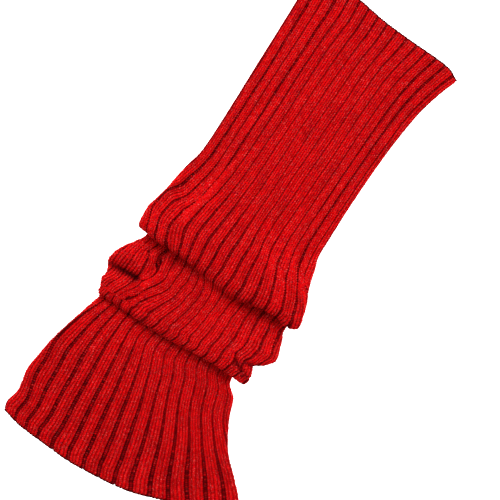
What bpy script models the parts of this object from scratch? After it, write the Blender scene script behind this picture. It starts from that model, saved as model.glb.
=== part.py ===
"""A ribbed, knitted boot cuff laid flat and slouched: one tube, its two layers lying on each other.

The tube lies on z = 0 with its mouth towards +Y and its hem towards -Y. A middle sheet runs between
the two layers: down the upper stretch, over the first fold, down the short middle stretch, over the
second fold and down the flared cuff. Both layers, the ribs and the rounded side edges are set off
from that sheet. Sizes are in millimetres until the mesh is made, which is in metres.
"""

import math
from typing import NamedTuple

import bmesh
import bpy
import numpy as np

MM = 0.001

# The knitted wall
WALL = 2.0
SLIT = 0.3
HALF = SLIT / 2 + WALL

# The ribs on the upper layer, from the mouth to the hem
RIBS = 16
RELIEF_AT_MOUTH = 0.8
RELIEF_AT_HEM = 1.1
VALLEY_AT_MOUTH = 0.20
VALLEY_AT_HEM = 0.32
SHOULDER = 0.12

# Where a fold hides them the ribs are pressed this much flatter, past which shift they aren't,
# and over which share of the next stretch they rise again
PRESSED = 0.8
PRESSED_TO_SHIFT = 14.0
PRESSED_FOR = 0.22

# A fold's turn over the lower layer, as a share of its two turns together
NOSE_SHARE = 0.41

# The box's middle, from the sizes below, becomes the part's origin
MIDDLE_ACROSS = -1.5
MIDDLE_ALONG = -4.9

# Columns of points round the tube, and rings of points along each run of it
BACK_COLUMNS = 14
INSIDE_COLUMNS = 16
SIDE_COLUMNS = 3
RINGS = {"upper": 14, "fold_1": 10, "middle": 9, "fold_2": 8, "lower": 10}

COLOUR = (0.62, 0.004, 0.008, 1.0)
ROUGHNESS = 0.92


class Section(NamedTuple):
    """Where the side edges lie at one section of a stretch, and how high it lies, from 0 to 1."""

    left: float
    left_along: float
    right: float
    right_along: float
    lift: float


class LinePoint(NamedTuple):
    """A point of the mouth or hem line; place runs from -1 at the left edge to 1 at the right."""

    place: float
    along: float


class FoldPoint(NamedTuple):
    """A fold at one place across: its crease, how far it moves on (back if less than 0), its drop."""

    place: float
    crease: float
    shift: float
    drop: float


class Crease(NamedTuple):
    """A short trough pressed into the middle stretch, between two ends."""

    across: float
    along: float
    end_across: float
    end_along: float
    width: float
    depth: float


UPPER = (
    Section(-58.0, 170.0, 60.0, 154.5, 0.0),
    Section(-55.0, 147.0, 55.0, 142.0, 0.0),
    Section(-55.4, 120.0, 49.2, 121.0, 0.0),
    Section(-56.0, 90.0, 45.2, 91.0, 0.0),
    Section(-56.7, 60.0, 42.9, 60.0, 0.0),
    Section(-58.0, 34.0, 41.8, 34.0, 0.0),
    Section(-62.3, 17.0, 41.4, 14.0, 0.12),
    Section(-64.6, 2.0, 44.0, 2.0, 0.45),
    Section(-67.2, -8.0, 46.6, -9.0, 0.80),
    Section(-69.0, -16.0, 50.6, -19.0, 0.98),
    Section(-68.8, -23.6, 53.4, -30.0, 1.0),
)
MIDDLE = (
    Section(-60.4, -20.4, 47.4, -26.6, 0.0),
    Section(-61.2, -31.5, 47.0, -40.0, 0.0),
    Section(-66.4, -40.0, 48.9, -45.5, 0.12),
    Section(-72.0, -49.0, 50.8, -52.0, 0.34),
    Section(-73.9, -56.0, 52.0, -57.5, 0.56),
    Section(-71.2, -61.5, 48.0, -63.0, 0.74),
    Section(-70.4, -64.5, 41.2, -68.0, 0.88),
    Section(-71.0, -67.5, 42.9, -72.5, 0.97),
    Section(-69.6, -72.0, 43.4, -75.6, 1.0),
)
LOWER = (
    Section(-67.1, -80.0, 33.2, -74.6, 0.0),
    Section(-68.9, -86.0, 34.2, -84.5, 0.0),
    Section(-71.4, -94.0, 40.9, -92.6, 0.0),
    Section(-75.2, -106.0, 44.2, -102.5, 0.0),
    Section(-78.6, -118.5, 48.2, -111.5, 0.0),
    Section(-81.0, -132.0, 53.5, -121.0, 0.0),
    Section(-82.5, -144.0, 61.0, -130.0, 0.0),
    Section(-81.2, -158.0, 68.8, -138.0, 0.0),
    Section(-83.4, -168.5, 76.0, -146.0, 0.0),
    Section(-82.2, -173.5, 80.6, -152.0, 0.0),
)
MOUTH = (
    LinePoint(-1.0, 170.0),
    LinePoint(-0.4, 166.8),
    LinePoint(0.0, 162.7),
    LinePoint(0.35, 160.7),
    LinePoint(0.7, 159.4),
    LinePoint(0.88, 158.0),
    LinePoint(1.0, 154.5),
)
HEM = (
    LinePoint(-1.0, -173.5),
    LinePoint(-0.85, -176.7),
    LinePoint(-0.6, -178.8),
    LinePoint(-0.35, -180.4),
    LinePoint(-0.1, -179.7),
    LinePoint(0.15, -177.6),
    LinePoint(0.4, -172.2),
    LinePoint(0.7, -163.5),
    LinePoint(1.0, -152.0),
)
FOLD_1 = (
    FoldPoint(-1.0, -28.8, -3.0, 13.0),
    FoldPoint(-0.75, -31.0, -4.0, 13.0),
    FoldPoint(-0.52, -31.6, 1.0, 13.0),
    FoldPoint(-0.28, -33.2, 8.0, 12.4),
    FoldPoint(-0.04, -36.0, 16.0, 10.6),
    FoldPoint(0.2, -37.2, 14.0, 11.2),
    FoldPoint(0.42, -35.6, 5.5, 12.8),
    FoldPoint(0.62, -33.6, -0.5, 13.2),
    FoldPoint(0.78, -33.4, -3.0, 13.2),
    FoldPoint(0.92, -36.0, -3.0, 13.2),
    FoldPoint(1.0, -34.4, -3.0, 13.0),
)
FOLD_2 = (
    FoldPoint(-1.0, -78.6, 8.0, 7.5),
    FoldPoint(-0.7, -79.0, 6.5, 8.5),
    FoldPoint(-0.1, -81.0, 6.0, 9.0),
    FoldPoint(0.3, -80.2, 6.0, 10.0),
    FoldPoint(0.6, -79.6, 3.0, 12.5),
    FoldPoint(0.85, -80.6, -1.0, 13.0),
    FoldPoint(1.0, -81.4, -1.0, 13.0),
)
CREASES = (
    Crease(-53.0, -58.0, -73.0, -59.5, 4.4, 3.4),
    Crease(46.0, -67.0, 29.0, -70.5, 3.6, 2.4),
)

# A crease is this much shallower at its end, and never takes more than this share of the height there
CREASE_FADE = 0.8
MOST_SUNK = 0.7

# The side edges' notches are evened out over this share of a stretch and this far in from the edges
CALM_OVER = 0.3
CALM_REACH = 0.28

# Directions are taken over this share of a run or of the width, to each side
STEP = 0.0005

# A side edge's share of the way round a ring
SIDE_SHARE = 0.02


def column(rows, name):
    return np.array([getattr(row, name) for row in rows], float)


def smooth_read(xs, ys, x, level_ends=False):
    """Reads a table with a smooth curve that never passes its own rows' highest and lowest."""
    order = np.argsort(xs)
    xs, ys = xs[order], ys[order]
    gap = np.diff(xs)
    slope = np.diff(ys) / gap
    inner = np.where(
        slope[:-1] * slope[1:] > 0,
        2 * slope[:-1] * slope[1:] / np.where(slope[:-1] + slope[1:] == 0, 1, slope[:-1] + slope[1:]),
        0,
    )
    ends = (0.0, 0.0) if level_ends else (slope[0], slope[-1])
    tangent = np.concatenate([[ends[0]], inner, [ends[1]]])
    x = np.clip(x, xs[0], xs[-1])
    i = np.clip(np.searchsorted(xs, x) - 1, 0, len(gap) - 1)
    u = (x - xs[i]) / gap[i]
    rise = u * u * (3 - 2 * u)
    start = u * (1 - u) ** 2
    end = u * u * (u - 1)
    return ys[i] + (ys[i + 1] - ys[i]) * rise + gap[i] * (tangent[i] * start + tangent[i + 1] * end)


def read_rows(rows, name, share, level_ends=False):
    """One column of a stretch's sections, at a share from 0 at its first to 1 at its last."""
    return smooth_read(np.linspace(0, 1, len(rows)), column(rows, name), share, level_ends)


def read_line(rows, name, place):
    return smooth_read(column(rows, "place"), column(rows, name), place)


def ease(u):
    """A smooth step from 0 to 1."""
    u = np.clip(u, 0, 1)
    return u * u * (3 - 2 * u)


def turns_of(rows, place):
    """A fold's shift and drop there, the angle that it turns through, and the radii of its turns."""
    shift = read_line(rows, "shift", place)
    drop = read_line(rows, "drop", place)
    on = np.maximum(shift, 0)
    angle = 2 * np.arctan2(drop, on)
    both = (drop**2 + on**2) / (2 * drop)
    return shift, drop, angle, both * NOSE_SHARE, both * (1 - NOSE_SHARE)


def fold_top(rows, place):
    """How far along the sheet is where it starts to turn down into a fold."""
    _, _, angle, nose, _ = turns_of(rows, place)
    return read_line(rows, "crease", place) + (nose + HALF) * np.sin(np.minimum(angle, math.pi / 2))


def fold_foot(rows, place):
    return fold_top(rows, place) - read_line(rows, "shift", place)


def folded(rows, place, share):
    """How far on and how far down the sheet is, at a share of its length through a fold."""
    shift, drop, angle, nose, back = turns_of(rows, place)
    tuck = np.maximum(-shift, 0)
    walked = share * (angle * (nose + back) + tuck)
    down = np.minimum(walked / nose, angle)
    straight = np.clip(walked - angle * nose, 0, tuck)
    up = np.clip((walked - angle * nose - tuck) / back, 0, angle)
    left = angle - up
    along = -nose * np.sin(down) + straight - back * (np.sin(angle) - np.sin(left)) * (up > 0)
    height = -nose * (1 - np.cos(down)) - back * (np.cos(left) - np.cos(angle)) * (up > 0)
    return along, drop + height


def between_edges(left, right, place):
    inner_left, inner_right = left + HALF, right - HALF
    return inner_left + (inner_right - inner_left) * (1 + place) / 2


def calm(rows, name, share):
    """A side edge without its notches, and how far the real edge is from that."""
    edge = read_rows(rows, name, share)
    shifts = np.linspace(-CALM_OVER, CALM_OVER, 7)
    mean = np.mean([read_rows(rows, name, share + shift) for shift in shifts], axis=0)
    evened = edge + (mean - edge) * ease(share / CALM_OVER) * ease((1 - share) / CALM_OVER)
    return evened, edge - evened


def stretch(rows, place, share, top, bottom, drop):
    """The sheet over one stretch, from its top line to its bottom line."""
    left_along = read_rows(rows, "left_along", share)
    right_along = read_rows(rows, "right_along", share)
    chord = left_along + (right_along - left_along) * (1 + place) / 2
    first, last = rows[0], rows[-1]
    top_chord = first.left_along + (first.right_along - first.left_along) * (1 + place) / 2
    bottom_chord = last.left_along + (last.right_along - last.left_along) * (1 + place) / 2
    done = np.clip((top_chord - chord) / (top_chord - bottom_chord), 0, 1)
    along = chord + (top - top_chord) * (1 - done) + (bottom - bottom_chord) * done
    (left, left_off), (right, right_off) = calm(rows, "left", share), calm(rows, "right", share)
    across = between_edges(left, right, place)
    across = across + left_off * np.exp(-(((1 + place) / CALM_REACH) ** 2))
    across = across + right_off * np.exp(-(((1 - place) / CALM_REACH) ** 2))
    height = HALF + drop * read_rows(rows, "lift", share, level_ends=True)
    return np.stack([across, along, height], axis=-1)


def fold(rows, above, below, place, share):
    """The sheet through a fold, between the last section above it and the first below."""
    on, height = folded(rows, place, share)
    passed = ease(share)
    left = above.left + (below.left - above.left) * passed
    right = above.right + (below.right - above.right) * passed
    across = between_edges(left, right, place)
    return np.stack([across, fold_top(rows, place) + on, HALF + height], axis=-1)


def press_creases(points):
    """Sinks the short troughs into the middle stretch, no lower than the cloth below allows."""
    for crease in CREASES:
        start = np.array([crease.across, crease.along])
        run = np.array([crease.end_across, crease.end_along]) - start
        share = np.clip((points[..., :2] - start) @ run / (run @ run), 0, 1)
        away = np.linalg.norm(points[..., :2] - start - share[..., None] * run, axis=-1)
        depth = crease.depth * np.exp(-((away / crease.width) ** 2)) * np.sqrt(1 - CREASE_FADE * share**2)
        room = np.maximum(points[..., 2] - HALF, 0)
        points[..., 2] -= np.minimum(depth, MOST_SUNK * room)
    return points


def sheet(run, place, share):
    """Points of the middle sheet, at places across it and shares along the named run."""
    place, share = np.broadcast_arrays(np.asarray(place, float), np.asarray(share, float))
    if run == "upper":
        ends = read_line(MOUTH, "along", place), fold_top(FOLD_1, place)
        return stretch(UPPER, place, share, *ends, read_line(FOLD_1, "drop", place))
    if run == "fold_1":
        return fold(FOLD_1, UPPER[-1], MIDDLE[0], place, share)
    if run == "middle":
        ends = fold_foot(FOLD_1, place), fold_top(FOLD_2, place)
        return press_creases(stretch(MIDDLE, place, share, *ends, read_line(FOLD_2, "drop", place)))
    if run == "fold_2":
        return fold(FOLD_2, MIDDLE[-1], LOWER[0], place, share)
    ends = fold_foot(FOLD_2, place), read_line(HEM, "along", place)
    return stretch(LOWER, place, share, *ends, 0)


def unit(vectors):
    return vectors / np.linalg.norm(vectors, axis=-1, keepdims=True)


def frame_of(run, place, share):
    """Points of the sheet, with its directions across and straight out of its upper face."""
    before, after = np.clip(share - STEP, 0, 1), np.clip(share + STEP, 0, 1)
    left, right = np.clip(place - STEP, -1, 1), np.clip(place + STEP, -1, 1)
    down = sheet(run, place, after) - sheet(run, place, before)
    across = sheet(run, right, share) - sheet(run, left, share)
    return sheet(run, place, share), unit(across), unit(np.cross(down, across))


def pressing(run, place, share):
    """How much of a rib's height is left, at places across a run and a share of it."""
    rows = FOLD_1 if run in ("fold_1", "middle") else FOLD_2
    hidden = PRESSED * np.clip(1 - read_line(rows, "shift", place) / PRESSED_TO_SHIFT, 0, 1)
    if run == "upper":
        return np.ones_like(place)
    if run in ("fold_1", "fold_2"):
        return 1 - hidden * ease(share)
    return 1 - hidden * (1 - ease(share / PRESSED_FOR))


def back_places(count):
    """Places across a plain layer, from its right edge to its left."""
    return np.linspace(1, -1, count + 1)


def rib_columns(valley):
    """Places across the upper layer and their relief, four for each rib: foot, crest, crest, foot."""
    width = 2 / RIBS
    places, relief = [-1.0], [0.0]
    for rib in range(RIBS):
        start = -1 + rib * width
        foot, crest = valley / 2, valley / 2 + SHOULDER
        places += [start + width * part for part in (foot, crest, 1 - crest, 1 - foot)]
        relief += [0.0, 1.0, 1.0, 0.0]
    return np.array([*places, 1.0]), np.array([*relief, 0.0])


def ring(run, share, done):
    """The outer and inner points of one ring; done is 0 at the mouth and 1 at the hem."""
    valley = VALLEY_AT_MOUTH + (VALLEY_AT_HEM - VALLEY_AT_MOUTH) * done
    relief = RELIEF_AT_MOUTH + (RELIEF_AT_HEM - RELIEF_AT_MOUTH) * done
    places, raised = rib_columns(valley)
    points, across, out = frame_of(run, places, share)
    front = points + out * (HALF + relief * raised * pressing(run, places, share))[:, None]
    turn = np.linspace(0, math.pi, SIDE_COLUMNS + 2)[1:-1, None]
    right = points[-1] + HALF * (across[-1] * np.sin(turn) + out[-1] * np.cos(turn))
    left = points[0] - HALF * (across[0] * np.sin(turn) + out[0] * np.cos(turn))
    points, _, out = frame_of(run, back_places(BACK_COLUMNS), share)
    back = points - out * HALF
    points, _, out = frame_of(run, -back_places(INSIDE_COLUMNS), share)
    inside = np.concatenate([points + out * SLIT / 2, (points - out * SLIT / 2)[::-1]])
    return np.concatenate([front, right, back, left]), inside


def stations():
    """Every ring's run and share of it, with no ring made twice where runs meet."""
    placed = [("upper", 0.0)]
    for run, count in RINGS.items():
        placed += [(run, (i + 1) / count) for i in range(count)]
    return placed


def loft(bm, rings):
    """Joins rings of equal counts with quads, and returns the corners of each ring."""
    made = [[bm.verts.new(point * MM) for point in points] for points in rings]
    for upper, lower in zip(made, made[1:]):
        count = len(upper)
        for i in range(count):
            j = (i + 1) % count
            bm.faces.new((upper[i], lower[i], lower[j], upper[j]))
    return made


def shares_round(front, back, side_count):
    """How far round its ring each point is, from 0 to 1: a layer, a side edge, and both again."""
    layer = 0.5 - SIDE_SHARE
    right, left = [layer + SIDE_SHARE / 2] * side_count, [1 - SIDE_SHARE / 2] * side_count
    return np.concatenate([layer * (1 + front) / 2, right, 0.5 + layer * (1 - back) / 2, left, [1.0]])


def close_rim(bm, outer, inner, valley):
    """Joins the outer and inner rings of an open end, which have unlike counts, with triangles."""
    far = shares_round(rib_columns(valley)[0], back_places(BACK_COLUMNS), SIDE_COLUMNS)
    near = shares_round(-back_places(INSIDE_COLUMNS), back_places(INSIDE_COLUMNS), 0)
    i = j = 0
    while i < len(outer) or j < len(inner):
        step_out = j == len(inner) or (i < len(outer) and far[i + 1] < near[j + 1])
        a, b = outer[i % len(outer)], inner[j % len(inner)]
        c = outer[(i + 1) % len(outer)] if step_out else inner[(j + 1) % len(inner)]
        bm.faces.new((a, b, c))
        i, j = (i + 1, j) if step_out else (i, j + 1)


def knit_material():
    material = bpy.data.materials.new("red_rib_knit")
    material.use_nodes = True
    shader = material.node_tree.nodes["Principled BSDF"]
    shader.inputs["Base Color"].default_value = COLOUR
    shader.inputs["Roughness"].default_value = ROUGHNESS
    shader.inputs["Metallic"].default_value = 0.0
    material.diffuse_color = COLOUR
    return material


def build_cuff():
    """The whole tube: outer wall, inner wall and the two rims."""
    placed = stations()
    middle = np.array([MIDDLE_ACROSS, MIDDLE_ALONG, 0.0])
    rings = [ring(run, share, i / (len(placed) - 1)) for i, (run, share) in enumerate(placed)]
    bm = bmesh.new()
    outer = loft(bm, [points - middle for points, _ in rings])
    inner = loft(bm, [points - middle for _, points in rings])
    close_rim(bm, outer[0], inner[0], VALLEY_AT_MOUTH)
    close_rim(bm, outer[-1], inner[-1], VALLEY_AT_HEM)
    bmesh.ops.recalc_face_normals(bm, faces=bm.faces)
    mesh = bpy.data.meshes.new("cuff")
    bm.to_mesh(mesh)
    bm.free()
    mesh.materials.append(knit_material())
    return bpy.data.objects.new("cuff", mesh)


def clear_scene():
    for old in list(bpy.data.objects):
        bpy.data.objects.remove(old, do_unlink=True)


def main():
    clear_scene()
    collection = bpy.data.collections.new("knitted_boot_cuff")
    bpy.context.scene.collection.children.link(collection)
    collection.objects.link(build_cuff())


if __name__ == "__main__":
    main()
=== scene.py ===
"""The looks of a ribbed, knitted boot cuff in red yarn, laid flat and slouched on a pale floor.

The cloth is one knitted tube. A middle sheet runs between its two layers, from the mouth over two folds
to the flared hem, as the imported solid's does. The wall, its ribs, the single stitches and the looped
edges are all set off from that sheet. Sizes are in millimetres until a mesh is made, which is in metres.
"""

import logging
import math
from dataclasses import dataclass, field
from enum import Enum
from typing import NamedTuple

import bmesh
import bpy
import numpy as np
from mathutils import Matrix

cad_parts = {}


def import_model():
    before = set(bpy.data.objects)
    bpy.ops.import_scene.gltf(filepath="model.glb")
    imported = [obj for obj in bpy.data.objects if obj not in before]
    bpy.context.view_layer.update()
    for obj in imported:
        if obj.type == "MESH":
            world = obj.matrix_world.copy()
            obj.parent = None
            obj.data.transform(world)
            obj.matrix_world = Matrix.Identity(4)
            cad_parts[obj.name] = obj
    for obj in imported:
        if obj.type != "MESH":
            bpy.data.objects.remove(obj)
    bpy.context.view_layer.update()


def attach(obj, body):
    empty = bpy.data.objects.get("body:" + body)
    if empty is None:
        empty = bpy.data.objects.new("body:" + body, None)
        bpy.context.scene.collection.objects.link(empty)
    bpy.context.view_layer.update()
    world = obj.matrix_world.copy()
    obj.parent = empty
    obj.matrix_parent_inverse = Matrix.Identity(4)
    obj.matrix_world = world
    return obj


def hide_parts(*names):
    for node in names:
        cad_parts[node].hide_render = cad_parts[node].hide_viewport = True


MM = 0.001
BODY = "root"
NODE = "cuff"
TINY = 1e-12

log = logging.getLogger("knitted_boot_cuff")


class Run(Enum):
    """The runs that the cloth takes from its mouth to its hem, in order."""

    UPPER = 0
    FOLD_1 = 1
    MIDDLE = 2
    FOLD_2 = 3
    LOWER = 4


class Section(NamedTuple):
    """Where the side edges lie at one section of a stretch, and how high it lies, from 0 to 1."""

    left: float
    left_along: float
    right: float
    right_along: float
    lift: float


class LinePoint(NamedTuple):
    """A point of the mouth or hem line; place runs from -1 at the left edge to 1 at the right."""

    place: float
    along: float


class FoldPoint(NamedTuple):
    """A fold at one place across: its crease, how far it moves on (back if less than 0), its drop."""

    place: float
    crease: float
    shift: float
    drop: float


class Crease(NamedTuple):
    """A soft trough, or a ridge if its depth is less than 0, deepest at its start.

    Its shade is how much painted shade darkens the colour in it, from 0 to 1.
    """

    across: float
    along: float
    end_across: float
    end_along: float
    width: float
    depth: float
    shade: float


class RibPlaces(NamedTuple):
    """Where six of the upper layer's valleys lie at one share of the way along the cloth.

    Places run from -1 at the left edge to 1 at the right; past those, a valley lies round the side edge.
    """

    way: float
    first: float
    third: float
    fifth: float
    eighth: float
    twelfth: float
    last: float


class ValleyWidths(NamedTuple):
    """How much of a rib's width the valleys take, at one share of the way along."""

    way: float
    left: float
    middle: float
    right: float


class DeepValley(NamedTuple):
    """A valley of the upper layer that opens more than its neighbours between two shares of the way."""

    number: int
    start: float
    end: float
    more: float


UPPER = (
    Section(-58.0, 170.0, 60.0, 154.5, 0.0),
    Section(-55.0, 147.0, 55.0, 142.0, 0.0),
    Section(-55.4, 120.0, 49.2, 121.0, 0.0),
    Section(-56.0, 90.0, 45.2, 91.0, 0.0),
    Section(-56.7, 60.0, 42.9, 60.0, 0.0),
    Section(-58.0, 34.0, 41.8, 34.0, 0.0),
    Section(-62.3, 17.0, 41.4, 14.0, 0.12),
    Section(-64.6, 2.0, 44.0, 2.0, 0.45),
    Section(-67.2, -8.0, 46.6, -9.0, 0.80),
    Section(-69.0, -16.0, 50.6, -19.0, 0.98),
    Section(-68.8, -23.6, 53.4, -30.0, 1.0),
)
MIDDLE = (
    Section(-60.4, -20.4, 47.4, -26.6, 0.0),
    Section(-61.2, -31.5, 47.0, -40.0, 0.0),
    Section(-66.4, -40.0, 48.9, -45.5, 0.12),
    Section(-72.0, -49.0, 50.8, -52.0, 0.34),
    Section(-73.9, -56.0, 52.0, -57.5, 0.56),
    Section(-71.2, -61.5, 48.0, -63.0, 0.74),
    Section(-70.4, -64.5, 41.2, -68.0, 0.88),
    Section(-71.0, -67.5, 42.9, -72.5, 0.97),
    Section(-69.6, -72.0, 43.4, -75.6, 1.0),
)
LOWER = (
    Section(-67.1, -80.0, 33.2, -74.6, 0.0),
    Section(-68.9, -86.0, 34.2, -84.5, 0.0),
    Section(-71.4, -94.0, 40.9, -92.6, 0.0),
    Section(-75.2, -106.0, 44.2, -102.5, 0.0),
    Section(-78.6, -118.5, 48.2, -111.5, 0.0),
    Section(-81.0, -132.0, 53.5, -121.0, 0.0),
    Section(-82.5, -144.0, 61.0, -130.0, 0.0),
    Section(-81.2, -158.0, 68.8, -138.0, 0.0),
    Section(-83.4, -168.5, 76.0, -146.0, 0.0),
    Section(-82.2, -173.5, 80.6, -152.0, 0.0),
)
MOUTH = (
    LinePoint(-1.0, 170.0),
    LinePoint(-0.4, 166.8),
    LinePoint(0.0, 162.7),
    LinePoint(0.35, 160.7),
    LinePoint(0.7, 159.4),
    LinePoint(0.88, 158.0),
    LinePoint(1.0, 154.5),
)
HEM = (
    LinePoint(-1.0, -173.5),
    LinePoint(-0.85, -176.7),
    LinePoint(-0.6, -178.8),
    LinePoint(-0.35, -180.4),
    LinePoint(-0.1, -179.7),
    LinePoint(0.15, -177.6),
    LinePoint(0.4, -172.2),
    LinePoint(0.7, -163.5),
    LinePoint(1.0, -152.0),
)
FOLD_1 = (
    FoldPoint(-1.0, -28.8, -3.0, 13.0),
    FoldPoint(-0.75, -31.0, -4.0, 13.0),
    FoldPoint(-0.52, -31.6, 1.0, 13.0),
    FoldPoint(-0.28, -33.2, 8.0, 12.4),
    FoldPoint(-0.04, -36.0, 16.0, 10.6),
    FoldPoint(0.2, -37.2, 14.0, 11.2),
    FoldPoint(0.42, -35.6, 5.5, 12.8),
    FoldPoint(0.62, -33.6, -0.5, 13.2),
    FoldPoint(0.78, -33.4, -3.0, 13.2),
    FoldPoint(0.92, -36.0, -3.0, 13.2),
    FoldPoint(1.0, -34.4, -3.0, 13.0),
)
FOLD_2 = (
    FoldPoint(-1.0, -78.6, 8.0, 7.5),
    FoldPoint(-0.7, -79.0, 6.5, 8.5),
    FoldPoint(-0.1, -81.0, 6.0, 9.0),
    FoldPoint(0.3, -80.2, 6.0, 10.0),
    FoldPoint(0.6, -79.6, 3.0, 12.5),
    FoldPoint(0.85, -80.6, -1.0, 13.0),
    FoldPoint(1.0, -81.4, -1.0, 13.0),
)
CREASES = (
    Crease(-54.0, -46.0, -74.0, -50.0, 7.0, -3.4, 0.0),
    Crease(-51.5, -58.2, -72.0, -59.2, 4.2, 5.0, 0.97),
    Crease(-52.0, -68.0, -72.0, -66.0, 5.0, -2.2, 0.0),
    Crease(-53.8, -39.5, -53.2, -41.5, 2.4, 1.6, 0.7),
    Crease(30.0, -71.5, 41.0, -77.5, 3.0, 2.6, 0.75),
    Crease(42.0, -68.4, 35.0, -69.6, 2.8, 2.2, 0.75),
)

# The six valleys that the next table places, counted from the upper layer's left
PLACED = (0, 2, 4, 7, 11, 14)
RIB_PLACES = (
    RibPlaces(0.0, -0.89, -0.625, -0.36, 0.04, 0.57, 0.965),
    RibPlaces(0.36, -0.89, -0.625, -0.36, 0.04, 0.57, 0.965),
    RibPlaces(0.40, -0.92, -0.65, -0.375, 0.03, 0.56, 0.94),
    RibPlaces(0.433, -1.01, -0.715, -0.405, 0.03, 0.565, 1.06),
    RibPlaces(0.46, -1.0, -0.715, -0.42, 0.03, 0.61, 1.08),
    RibPlaces(0.485, -0.95, -0.68, -0.415, 0.025, 0.62, 1.08),
    RibPlaces(0.51, -0.89, -0.635, -0.40, 0.02, 0.61, 1.06),
    RibPlaces(0.55, -0.845, -0.585, -0.385, -0.01, 0.58, 1.02),
    RibPlaces(0.58, -0.84, -0.58, -0.33, 0.01, 0.55, 0.985),
    RibPlaces(0.61, -0.74, -0.53, -0.28, 0.03, 0.54, 0.96),
    RibPlaces(0.635, -0.70, -0.48, -0.27, 0.05, 0.57, 0.98),
    RibPlaces(0.655, -0.70, -0.51, -0.285, 0.06, 0.595, 1.03),
    RibPlaces(0.68, -0.73, -0.59, -0.325, 0.06, 0.615, 1.06),
    RibPlaces(0.70, -0.78, -0.665, -0.37, 0.03, 0.60, 1.03),
    RibPlaces(0.725, -0.88, -0.725, -0.405, -0.01, 0.575, 0.99),
    RibPlaces(0.755, -0.94, -0.71, -0.43, -0.025, 0.55, 0.97),
    RibPlaces(0.80, -0.995, -0.71, -0.395, 0.045, 0.565, 0.97),
    RibPlaces(0.85, -1.0, -0.69, -0.365, 0.08, 0.595, 0.965),
    RibPlaces(0.90, -0.94, -0.66, -0.36, 0.085, 0.64, 1.03),
    RibPlaces(0.94, -0.92, -0.655, -0.36, 0.08, 0.648, 1.05),
    RibPlaces(1.0, -0.90, -0.67, -0.38, 0.04, 0.64, 1.04),
)
VALLEY_WIDTHS = (
    ValleyWidths(0.0, 0.17, 0.15, 0.17),
    ValleyWidths(0.04, 0.13, 0.13, 0.14),
    ValleyWidths(0.14, 0.12, 0.10, 0.11),
    ValleyWidths(0.24, 0.12, 0.08, 0.10),
    ValleyWidths(0.32, 0.13, 0.08, 0.10),
    ValleyWidths(0.38, 0.15, 0.09, 0.12),
    ValleyWidths(0.445, 0.16, 0.15, 0.15),
    ValleyWidths(0.48, 0.16, 0.17, 0.16),
    ValleyWidths(0.53, 0.16, 0.17, 0.16),
    ValleyWidths(0.58, 0.16, 0.11, 0.16),
    ValleyWidths(0.63, 0.13, 0.08, 0.14),
    ValleyWidths(0.70, 0.11, 0.13, 0.14),
    ValleyWidths(0.73, 0.13, 0.12, 0.12),
    ValleyWidths(0.77, 0.16, 0.11, 0.11),
    ValleyWidths(0.80, 0.16, 0.14, 0.10),
    ValleyWidths(0.85, 0.18, 0.17, 0.11),
    ValleyWidths(0.90, 0.19, 0.19, 0.14),
    ValleyWidths(0.95, 0.19, 0.20, 0.18),
    ValleyWidths(1.0, 0.17, 0.18, 0.18),
)
DEEP_VALLEYS = (
    DeepValley(0, 0.0, 0.4, 0.07),
    DeepValley(2, 0.0, 0.34, 0.08),
    DeepValley(3, 0.08, 0.3, 0.03),
    DeepValley(13, 0.03, 0.4, 0.08),
    DeepValley(12, 0.03, 0.3, 0.06),
    DeepValley(1, 0.575, 0.605, 0.16),
    DeepValley(2, 0.66, 0.70, 0.08),
)


def column(rows: tuple, name: str) -> np.ndarray:
    """One named column of a table, as an array."""
    return np.array([getattr(row, name) for row in rows], float)


def smooth_read(xs: np.ndarray, ys: np.ndarray, x: np.ndarray, level_ends: bool = False) -> np.ndarray:
    """Reads a table with a smooth curve that never passes its own rows' highest and lowest.

    Args:
        xs: The rows' places, rising.
        ys: The rows' values.
        x: Where to read.
        level_ends: Whether the curve is level at the first and last row.

    Returns:
        The values there.
    """
    gap = np.diff(xs)
    slope = np.diff(ys) / gap
    turning = slope[:-1] * slope[1:] <= 0
    both = np.where(turning, 1.0, slope[:-1] + slope[1:])
    inner = np.where(turning, 0.0, 2 * slope[:-1] * slope[1:] / both)
    ends = (0.0, 0.0) if level_ends else (slope[0], slope[-1])
    tangent = np.concatenate([[ends[0]], inner, [ends[1]]])
    x = np.clip(x, xs[0], xs[-1])
    i = np.clip(np.searchsorted(xs, x) - 1, 0, len(gap) - 1)
    u = (x - xs[i]) / gap[i]
    start, end = u * (1 - u) ** 2, u * u * (u - 1)
    return ys[i] + (ys[i + 1] - ys[i]) * ease(u) + gap[i] * (tangent[i] * start + tangent[i + 1] * end)


def ease(u: np.ndarray) -> np.ndarray:
    """A smooth step from 0 to 1."""
    u = np.clip(u, 0, 1)
    return u * u * (3 - 2 * u)


def read_rows(rows: tuple, name: str, share: np.ndarray, level_ends: bool = False) -> np.ndarray:
    """One column of a stretch's sections, at a share from 0 at its first to 1 at its last."""
    return smooth_read(np.linspace(0, 1, len(rows)), column(rows, name), share, level_ends)


def read_line(rows: tuple, name: str, place: np.ndarray) -> np.ndarray:
    """One column of a table that is placed across the cloth."""
    return smooth_read(column(rows, "place"), column(rows, name), place)


def unit(vectors: np.ndarray) -> np.ndarray:
    """The vectors at length 1."""
    return vectors / np.maximum(np.linalg.norm(vectors, axis=-1, keepdims=True), TINY)


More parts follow.
